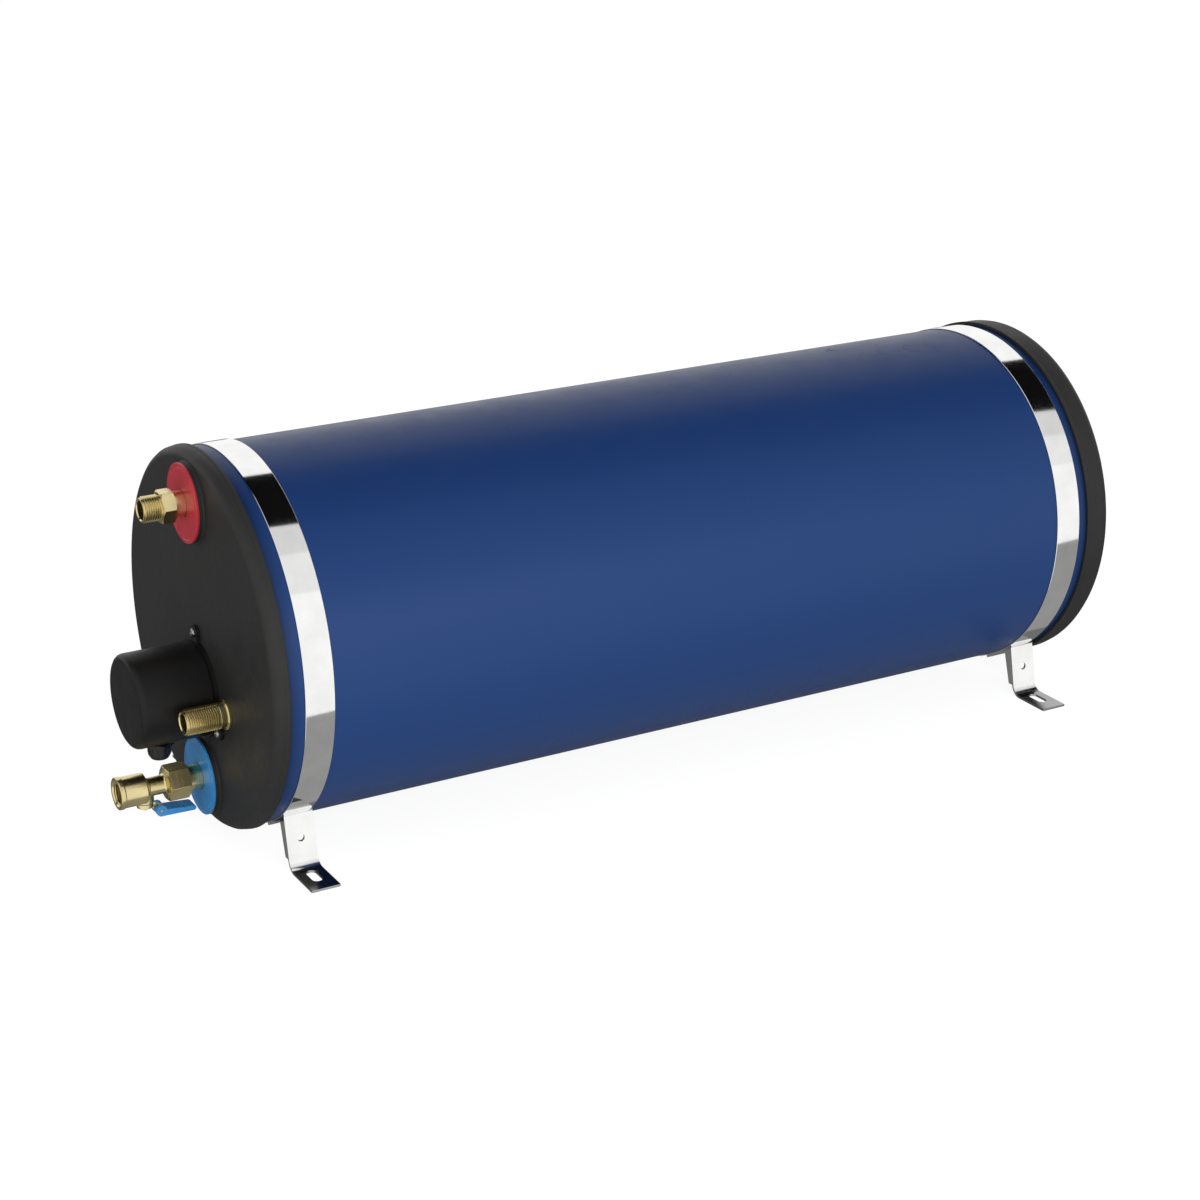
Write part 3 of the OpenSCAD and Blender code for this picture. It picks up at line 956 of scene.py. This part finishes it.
def band_shape(node):
    outer = box_size(node).z / 2 / MM
    width = box_size(node).x / MM
    hoop = ring(jacket_mm, outer, 0, width, (0.3, 0.45, 0.45, 0.3), FINE_SIDES)
    overlap = arc_strip(outer - 0.4, outer + strip_mm, 0.4, width - 0.4, overlap_degrees)
    welds = []
    for turn in (-3, 3):
        weld = turned(
            [
                (0, -0.5, 0),
                (3.2, -0.5, 0),
                (3.2, 0.12, 0.1),
                (2.6, 0.12, 0.1),
                (2.2, -0.1, 0.1),
                (0, -0.1, 0),
            ],
            32,
        )
        moved(weld, Matrix.Rotation(QUARTER, 4, "Y") @ shift(0, 0, outer + strip_mm))
        moved(weld, Matrix.Rotation(math.radians(turn), 4, "Z") @ shift(0, 0, width / 2))
        welds.append(weld)
    return moved(join_shapes(hoop, overlap, *welds), along_tank(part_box(node)[0].x))


add_piece("front_steel_band", band_shape("front_band"), band_steel, "front_band")
add_piece("rear_steel_band", band_shape("rear_band"), band_steel, "rear_band")

# %% [markdown]
# ## The feet
#
# Each foot is a channel pressed from strip: a curved tab on the band, a leg with two side
# flanges, a round bend and a slotted plate on the floor. The solid has all of it, with knife
# edges. Only the small burr radius that the press leaves is missing, so every sharp edge gets
# that. The bend's own facets meet at a few degrees and stay as they are.

# %% Round the pressed feet
burr_mm = 0.35
foot_places = [end + "_" + side for end in ("front", "rear") for side in ("right", "left")]

for foot_place in foot_places:
    node = foot_place + "_foot"
    add_piece("pressed_" + node, softened(node, burr_mm, 2), foot_steel, node)

# %% [markdown]
# ## The rivets
#
# A blind rivet holds each foot's tab to the band. Its head is a low dome with the end of the
# broken pin in a small hole. The head is turned, and then tilted to stand square on the round
# tank.

# %% Turn the rivets
band_thick = 1.2
tab_thick = 2.0
seat_radius = jacket_mm + band_thick + tab_thick


def rivet_shape(node):
    middle = box_middle(node)
    turn = math.atan2(middle.y - tank_axis.y, tank_axis.z - middle.z)
    head = turned(
        [
            (0, -1.5, 0),
            (2, -1.5, 0),
            (2, 0, 0),
            (4.1, 0, 0.1),
            (4.1, 0.35, 0.3),
            (2.6, 1.6, 1.2),
            (1.25, 1.6, 0.2),
            (1.15, 0.8, 0.1),
            (0, 0.95, 0),
        ],
        40,
    )
    place = Matrix.Translation((middle.x, tank_axis.y, tank_axis.z))
    place = place @ Matrix.Rotation(HALF + turn, 4, "X")
    return moved(head, place @ shift(0, 0, seat_radius))


for foot_place in foot_places:
    node = foot_place + "_rivet"
    add_piece("blind_" + node, rivet_shape(node), rivet_steel, node)

# %% [markdown]
# ## The coloured discs
#
# A thin washer of dyed plastic lies on each seat, red for the hot outlet and blue for the cold
# inlet. It has a fine rounded edge and a shallow ring pressed near its rim, where the mould
# closes.

# %% Turn the discs
pipe_mm = 10.48


def disc_shape():
    return turned(
        [
            (pipe_mm + 0.2, 0, 0),
            (disc_mm, 0, 0.2),
            (disc_mm, disc_thick, 0.6),
            (disc_mm - 2.6, disc_thick, 0.2),
            (disc_mm - 3.0, disc_thick - 0.35, 0.15),
            (disc_mm - 3.6, disc_thick - 0.35, 0.15),
            (disc_mm - 4.0, disc_thick, 0.2),
            (pipe_mm + 0.2, disc_thick, 0.3),
        ]
    )


for node, z, finish, slot in (
    ("hot_outlet_disc", hot_z, red_plastic, "red_plastic"),
    ("cold_inlet_disc", cold_z, blue_plastic, "blue_plastic"),
):
    disc = moved(disc_shape(), out_of_cap(0, z, seat_mm))
    add_piece("coloured_" + node, disc, finish, node)

# %% [markdown]
# ## Pipe threads
#
# A half-inch pipe thread has fourteen turns to the inch, and its ridges catch the light. The
# thread could be faked with rings, but rings look wrong where the thread runs out. A vee is
# drawn once and spun upward by one pitch a turn, which makes a true helix, and two planes cut
# it level at its ends. It lies on the pipe's plain body, whose radius is the thread's root.

# %% Spin a helical thread
pitch_mm = 25.4 / 14
ridge_mm = 1.0
STEPS_A_TURN = 40


def thread_shape(start, end, crest=pipe_mm, outward=1):
    root = crest - ridge_mm * outward
    turns = math.ceil((end - start) / pitch_mm) + 2
    vee = bmesh.new()
    upper = [(crest - 0.08 * outward, 0.07), (root, 0.44), (root - 0.25 * outward, 0.48)]
    corners = [(out, -up) for out, up in reversed(upper)] + upper
    verts = [vee.verts.new((out * MM, 0, up * pitch_mm * MM)) for out, up in corners]
    vee.faces.new(verts)
    spin(vee, FULL_TURN * turns, STEPS_A_TURN * turns, rise=pitch_mm * MM / STEPS_A_TURN)
    moved(vee, shift(0, 0, start - pitch_mm))
    for height, sign in ((start, -1), (end, 1)):
        cut = bmesh.ops.bisect_plane(
            vee,
            geom=vee.verts[:] + vee.edges[:] + vee.faces[:],
            plane_co=(0, 0, height * MM),
            plane_no=(0, 0, sign),
            clear_outer=True,
        )
        rim = [item for item in cut["geom_cut"] if isinstance(item, bmesh.types.BMEdge)]
        bmesh.ops.contextual_create(vee, geom=rim)
    return vee


show_sample("thread", thread_shape(0, 10))

# %% [markdown]
# ## Hexagons
#
# A spanner hexagon is turned as well as milled: its corners are cut back at thirty degrees on
# both ends, which leaves the curved edges that every nut has. A bevel could only cut them
# straight. So a six-sided prism and a turned blank with slanted rims are made, and the part
# that they share is the hexagon.

# %% Keep or cut where two forms meet


def combined(first, second, operation):
    forms = []
    for label, shape in (("first_form", first), ("second_form", second)):
        data = bpy.data.meshes.new(label)
        shape.to_mesh(data)
        shape.free()
        form = bpy.data.objects.new(label, data)
        scene_objects.link(form)
        forms.append(form)
    cutter = forms[0].modifiers.new("combine", "BOOLEAN")
    cutter.operation = operation
    cutter.solver = "EXACT"
    cutter.use_self = True
    cutter.object = forms[1]
    bpy.context.view_layer.update()
    made = bmesh.new()
    made.from_object(forms[0], bpy.context.evaluated_depsgraph_get())
    for form in forms:
        data = form.data
        bpy.data.objects.remove(form)
        bpy.data.meshes.remove(data)
    bmesh.ops.remove_doubles(made, verts=made.verts[:], dist=1e-6)
    bmesh.ops.recalc_face_normals(made, faces=made.faces[:])
    return made


disc = ring(0, 10, 0, 4, (0, 0, 0, 0), 24)
drill = ring(0, 3, -1, 5, (0, 0, 0, 0), 24)
show_sample("drilled disc", combined(disc, drill, "DIFFERENCE"))

# %% Cut a hexagon from a turned blank
SLANT = math.radians(30)
blank_margin = 0.4
rim_share = 0.985
corner_rounding = 0.35


def hexagon_shape(flats, start, end, hole):
    corner = flats / 2 / math.cos(SLANT)
    blank_mm = corner + blank_margin
    rim = flats / 2 * rim_share
    rise = (blank_mm - rim) * math.tan(SLANT)
    prism = bmesh.new()
    bmesh.ops.create_cone(
        prism,
        cap_ends=True,
        segments=6,
        radius1=corner * MM,
        radius2=corner * MM,
        depth=(end - start) * MM,
        matrix=shift(0, 0, (start + end) / 2),
    )
    upright = [edge for edge in prism.edges if abs(edge.verts[0].co.z - edge.verts[1].co.z) > 1e-6]
    round_edges(prism, upright, corner_rounding, 2)
    blank = turned(
        [
            (hole, start, 0),
            (rim, start, 0.1),
            (blank_mm, start + rise, 0),
            (blank_mm, end - rise, 0),
            (rim, end, 0.1),
            (hole, end, 0),
        ]
    )
    return combined(prism, blank, "INTERSECT")


show_sample("hexagon", hexagon_shape(24, 0, 11, 8))

# %% [markdown]
# ## The hot outlet
#
# The hot outlet is a hexagon nipple of turned brass. It has a plain shoulder toward the cap, a
# thread on the outer side of its hexagon, a chamfered mouth and a bore. The body is turned at
# the root of the thread, and the shoulder, the hexagon and the thread are laid on it.

# %% Build the hot outlet
bore_mm = 7.5
sleeve_mm = bore_mm + 0.5
hot_flats = 24
hot_hex_start = 14
hot_hex_end = 25
mouth_gap = 1.6


def nipple_body(reach):
    root = pipe_mm - ridge_mm
    return turned(
        [
            (bore_mm, -plate_mm, 0),
            (root, -plate_mm, 0),
            (root, reach - 0.3, 0.2),
            (bore_mm + 0.9, reach, 0.2),
            (bore_mm, reach - 0.9, 0.1),
        ]
    )


hot_reach = from_cap("hot_outlet_nipple")[1]
hot_shoulder = ring(sleeve_mm, pipe_mm, seat_mm, hot_hex_start + 0.5, (0, 0, 0.2, 0))
hot_hexagon = hexagon_shape(hot_flats, hot_hex_start, hot_hex_end, sleeve_mm)
hot_thread = thread_shape(hot_hex_end + 1.2, hot_reach - mouth_gap)
hot = join_shapes(nipple_body(hot_reach), hot_shoulder, hot_hexagon, hot_thread)
moved(hot, out_of_cap(0, hot_z))
add_piece("brass_hot_outlet", hot, brass, "hot_outlet_nipple")
print("hot outlet stands out, mm:", round(hot_reach, 1))

# %% [markdown]
# ## The coil's two ends
#
# The engine's cooling water heats the tank through a coil, whose two ends come out side by
# side. Each is a plain pipe end with a collar against the cap and a thread. One could be made
# and copied, but a function that builds both is just as short, and each stays its own piece.

# %% Build the coil's ends
coil_reach = from_cap("right_coil_nipple")[1]
collar_mm = 12
shoulder_end = 9


def coil_end():
    collar = turned(
        [
            (sleeve_mm, 0, 0),
            (collar_mm, 0, 0.2),
            (collar_mm, 2.4, 0.5),
            (collar_mm - 0.8, 3, 0.3),
            (sleeve_mm, 3, 0),
        ]
    )
    shoulder = turned(
        [
            (sleeve_mm, 2.5, 0),
            (pipe_mm, 2.5, 0),
            (pipe_mm, shoulder_end - 1, 0.3),
            (sleeve_mm, shoulder_end, 0),
        ]
    )
    thread = thread_shape(shoulder_end + 0.4, coil_reach - mouth_gap)
    return join_shapes(nipple_body(coil_reach), collar, shoulder, thread)


for node in ("right_coil_nipple", "left_coil_nipple"):
    place = out_of_cap(box_middle(node).y, coil_z)
    add_piece("brass_" + node, moved(coil_end(), place), brass, node)

# %% [markdown]
# ## The element's cover
#
# A deep round lid covers the electric element and its wires. It stands on a thin plate with three lugs,
# one screw in each. The lid is a hollow moulding: a turned shell with a rounded front edge and a narrow
# step where it meets the plate.

# %% Turn the lid and soften its plate
lid_mm = box_size("element_cover").y / 2 / MM
lid_start, lid_end = from_cap("element_cover")
wall_mm = 2.5

lid = turned(
    [
        (0, lid_end - wall_mm, 0),
        (lid_mm - wall_mm, lid_end - wall_mm, 2.5),
        (lid_mm - wall_mm, lid_start, 0),
        (lid_mm - 0.7, lid_start, 0.2),
        (lid_mm - 0.7, lid_start + 0.9, 0),
        (lid_mm, lid_start + 0.9, 0.2),
        (lid_mm, lid_end, 5),
        (0, lid_end, 0),
    ],
    128,
)
moved(lid, out_of_cap(0, cover_z))
add_piece("element_lid", lid, cover_plastic, "element_cover")
plate = softened("cover_base", 0.8, 3)
add_piece("lid_plate", plate, cover_plastic, "cover_base")
print("lid from, to, mm:", round(lid_start, 1), round(lid_end, 1))

# %% [markdown]
# ## The screws
#
# Three pan-head screws with a cross recess hold the plate. The recess is small, but a head
# without one looks like a rivet. Two crossed wedges are cut from a turned head.

# %% Cut the crosses in the screws
cross_turn = 0.35
cross_taper = 0.35


def screw_shape(under_head, top):
    head = turned(
        [
            (0, -plate_mm, 0),
            (2, -plate_mm, 0),
            (2, under_head, 0),
            (3.5, under_head, 0.2),
            (3.5, under_head + 1.0, 0.6),
            (2.4, top, 1.1),
            (0, top, 0),
        ],
        48,
    )
    cross = bmesh.new()
    for turn in (0, QUARTER):
        wedge = bmesh.ops.create_cube(cross, size=1.0)["verts"]
        bmesh.ops.scale(cross, verts=wedge, vec=(4.0 * MM, 0.75 * MM, 2.4 * MM))
        for vert in wedge:
            if vert.co.z < 0:
                vert.co.x *= cross_taper
        twist = Matrix.Rotation(turn + cross_turn, 3, "Z")
        bmesh.ops.rotate(cross, verts=wedge, matrix=twist)
        bmesh.ops.translate(cross, verts=wedge, vec=(0, 0, (top - 0.1) * MM))
    return combined(head, cross, "DIFFERENCE")


for index in (1, 2, 3):
    node = "cover_screw_" + str(index)
    middle = box_middle(node)
    screw = screw_shape(lid_start, from_cap(node)[1])
    moved(screw, out_of_cap(middle.y, middle.z))
    add_piece("cross_" + node, screw, rivet_steel, node)

# %% [markdown]
# ## The cable gland
#
# The cable comes in from below through a plastic gland: a hexagon against the lid and a domed
# nut that squeezes a rubber ring. The nut has ribs to grip it by. They could be part of its
# outline seen from above, but its dome has none. So twelve narrow bars with rounded edges are
# set round it, below the dome.

# %% Build the gland's body
nut_top = Vector((box_middle("gland_nut").x, 0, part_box("gland_nut")[1].z))
gland_place = Matrix.Translation(nut_top) @ Matrix.Rotation(HALF, 4, "X")
hole_mm = 4.0

thread_part = ring(hole_mm, 8, -8, 0, (0, 0.3, 0, 0), 48)
gland = join_shapes(thread_part, hexagon_shape(21, -3, 0, hole_mm + 0.5))
add_piece("gland_hexagon", moved(gland, gland_place), gland_plastic, "gland_body")

# %% Turn the gland's nut and set ribs round it
nut_length = box_size("gland_nut").z / MM
nut_mm = 8.9
rib_count = 12

nut = turned(
    [
        (hole_mm, 0, 0),
        (nut_mm, 0, 0.2),
        (nut_mm, nut_length - 3.6, 1.6),
        (6.8, nut_length, 1.8),
        (hole_mm + 0.6, nut_length, 0.5),
        (hole_mm, nut_length - 1.5, 0.3),
    ],
    48,
)


def small_bar(length, width, height, radius):
    bar = bmesh.new()
    bmesh.ops.create_cube(bar, size=1.0)
    bmesh.ops.scale(bar, verts=bar.verts[:], vec=(length * MM, width * MM, height * MM))
    round_edges(bar, bar.edges[:], radius, 2)
    return bar


for index in range(rib_count):
    rib = small_bar(1.4, 1.6, nut_length - 4.6, 0.5)
    moved(rib, shift(nut_mm - 0.15, 0, (nut_length - 3.8) / 2))
    nut = join_shapes(nut, moved(rib, Matrix.Rotation(FULL_TURN * index / rib_count, 4, "Z")))
add_piece("gland_grip_nut", moved(nut, gland_place), gland_plastic, "gland_nut")

# %% [markdown]
# ## The safety valve
#
# A combined check and safety valve sits on the cold inlet. Its brass body has a hexagon, a slim
# neck and a round end with a threaded mouth for the cold pipe. Below the mouth a short boss
# holds the valve's spring. The body is turned in one outline, with soft inner corners as a
# forging has them, and the hexagon and boss are laid on it.

# %% Turn the cold inlet's pipe end
cold_place = out_of_cap(0, cold_z)
pipe_end = from_cap("cold_inlet_nipple")[1]
cold_pipe = ring(bore_mm, pipe_mm, -plate_mm, pipe_end, (0, 0, 0.4, 0))
add_piece("brass_cold_pipe", moved(cold_pipe, cold_place), brass, "cold_inlet_nipple")

# %% Build the valve's body
valve_start, valve_reach = from_cap("valve_body")
hex_end = valve_start + 18
boss_place = hex_end + 17.5
boss_length = 12.5
socket_mm = pipe_mm + 0.05
neck_mm = 7.5
mouth_mm = 9.3

barrel = turned(
    [
        (0, valve_start + 11.5, 0),
        (socket_mm, valve_start + 11.5, 0),
        (socket_mm, valve_start + 0.2, 0.2),
        (12.4, valve_start + 0.2, 0.3),
        (12.4, hex_end - 0.2, 0.4),
        (neck_mm, hex_end + 1.6, 2.0),
        (neck_mm, boss_place - 2.0, 2.0),
        (12.5, boss_place, 1.2),
        (12.5, valve_reach - 4.2, 0.5),
        (13.2, valve_reach - 3.6, 0.3),
        (13.2, valve_reach, 0.8),
        (mouth_mm + 1.2, valve_reach, 0.2),
        (mouth_mm, valve_reach - 1.2, 0.1),
        (mouth_mm, valve_reach - 15, 0.3),
        (5.0, valve_reach - 15.8, 0.3),
        (5.0, valve_reach - 34, 0),
        (0, valve_reach - 34, 0),
    ]
)
boss = turned(
    [
        (0, 0, 0),
        (neck_mm, 0, 0),
        (neck_mm, boss_length - 1.2, 0.3),
        (neck_mm - 0.6, boss_length, 0.4),
        (0, boss_length, 0),
    ],
    64,
)
moved(boss, shift(0, 0, boss_place) @ Matrix.Rotation(-QUARTER, 4, "Y"))
valve_hexagon = hexagon_shape(26, valve_start, hex_end, pipe_mm + 0.5)
mouth_thread = thread_shape(valve_reach - 14, valve_reach - 1.4, mouth_mm - 0.7, outward=-1)
valve = moved(join_shapes(barrel, valve_hexagon, boss, mouth_thread), cold_place)
add_piece("brass_valve_body", valve, brass, "valve_body")

# %% Soften the bonnet, the spindle and the pin of the lever
add_piece("brass_bonnet", softened("valve_bonnet", 0.4, 2), brass, "valve_bonnet")
add_piece("brass_spindle", softened("valve_spindle", 0.5, 3), brass, "valve_spindle")
pin = softened("lever_pin", 0.4, 3)
add_piece("steel_lever_pin", pin, rivet_steel, "lever_pin")

# %% [markdown]
# ## The valve's lever
#
# A blue plastic lever opens the valve for a test, or to drain the tank. It hangs on a pin in
# the bonnet's eye, and its tip swings down. The solid has the fork and the tapered arm. Soft
# edges are added, and four low ribs across the top for the thumb.

# %% Shape the lever
first_rib = 3.4
rib_step = 2.6
arm_slope = 0.0857

lever = softened("relief_lever", 0.7, 3, degrees=30)
pin_middle = box_middle("lever_pin")
tip_mm = (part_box("relief_lever")[1].x - pin_middle.x) / MM
for index in range(4):
    along = tip_mm - first_rib - rib_step * index
    arm_top = 0.6 - arm_slope * (along - 6)
    rib = small_bar(1.1, 10.5, 1.6, 0.45)
    moved(rib, Matrix.Translation(pin_middle) @ shift(along, 0, arm_top - 0.35))
    lever = join_shapes(lever, rib)
add_piece("blue_test_lever", lever, blue_plastic, "relief_lever", body="lever")

# %% [markdown]
# ## Size
#
# Both boxes, the solids' and the dressed model's, are printed, so that they can be compared.
# The dressed model may not grow past the solids' box.

# %% Write both boxes and finish
seen_low, seen_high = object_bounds()
boxes = {
    "cad": [list(cad_low), list(cad_high)],
    "visual": [list(seen_low), list(seen_high)],
}
for name, (low, high) in boxes.items():
    print(name, "size mm:", [round((b - a) / MM, 1) for a, b in zip(low, high)])
